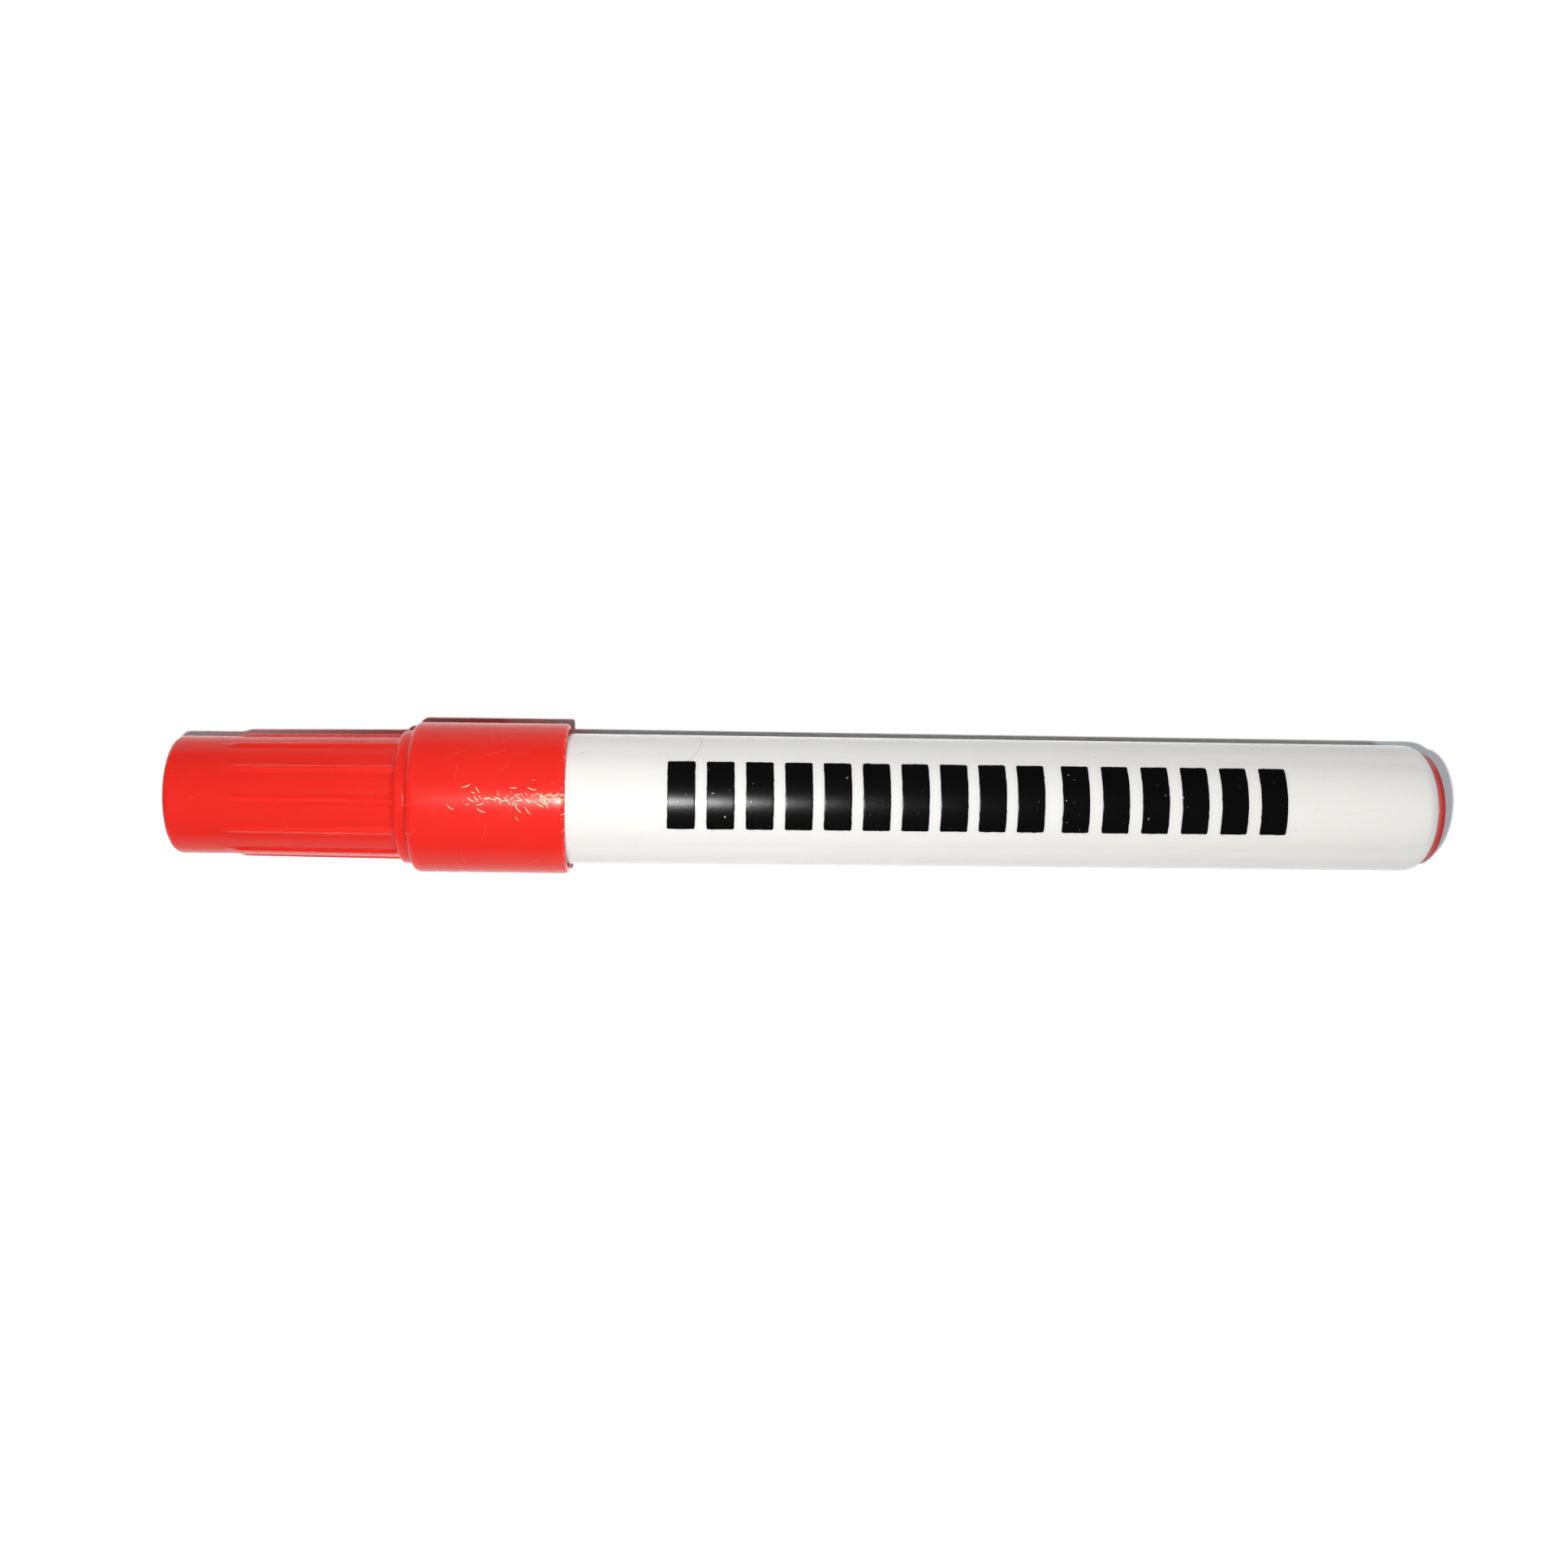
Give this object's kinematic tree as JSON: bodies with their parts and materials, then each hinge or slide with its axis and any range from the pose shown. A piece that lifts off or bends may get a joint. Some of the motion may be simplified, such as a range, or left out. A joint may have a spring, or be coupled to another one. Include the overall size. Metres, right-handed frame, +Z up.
{
  "type": "whiteboard marker",
  "caption": "Capped dry-wipe marker: round barrel, bullet nib on a felt ink reservoir, tail plug, and a ribbed cap whose wide skirt pushes on over the barrel.",
  "frame": {"origin": "on the resting surface, under the middle of the pen's length and axis, with the pen lying on the cap's skirt", "axes": "+X along the pen from the cap's closed end to the tail plug, +Z up, +Y to the far side"},
  "size_m": [0.1352, 0.016, 0.0161],
  "materials": {
    "barrel_white": "smooth glossy moulded white",
    "section_white": "smooth moulded white",
    "nib_fibre": "dense pressed fibre, soaked with red ink",
    "reservoir_fibre": "bundled fibre, soaked with red ink",
    "reservoir_film": "thin clear film",
    "plug_red": "smooth moulded red",
    "cap_red": "smooth moulded red, satin gloss, scuffed on the skirt",
    "liner_natural": "natural milky moulded",
    "print_black": "thin raised screen-printed ink, slightly grainy"
  },
  "bodies": {
    "barrel": {"barrel": "barrel_white", "nib_holder": "section_white", "nib": "nib_fibre", "ink_reservoir": "reservoir_fibre", "reservoir_wrap": "reservoir_film", "tail_plug": "plug_red"},
    "inner_cap": {"inner_cap": "liner_natural"},
    "cap": {"cap": "cap_red"}
  },
  "joints": [
    {"name": "cap_pull", "type": "slide", "parent": "barrel", "child": "inner_cap", "axis": [-1, 0, 0], "range_m": [0, 0.045]},
    {"name": "cap_turn", "type": "hinge", "parent": "inner_cap", "child": "cap", "pos_m": [-0.0474, 0, 0.00805], "axis": [1, 0, 0], "continuous": true}
  ]
}
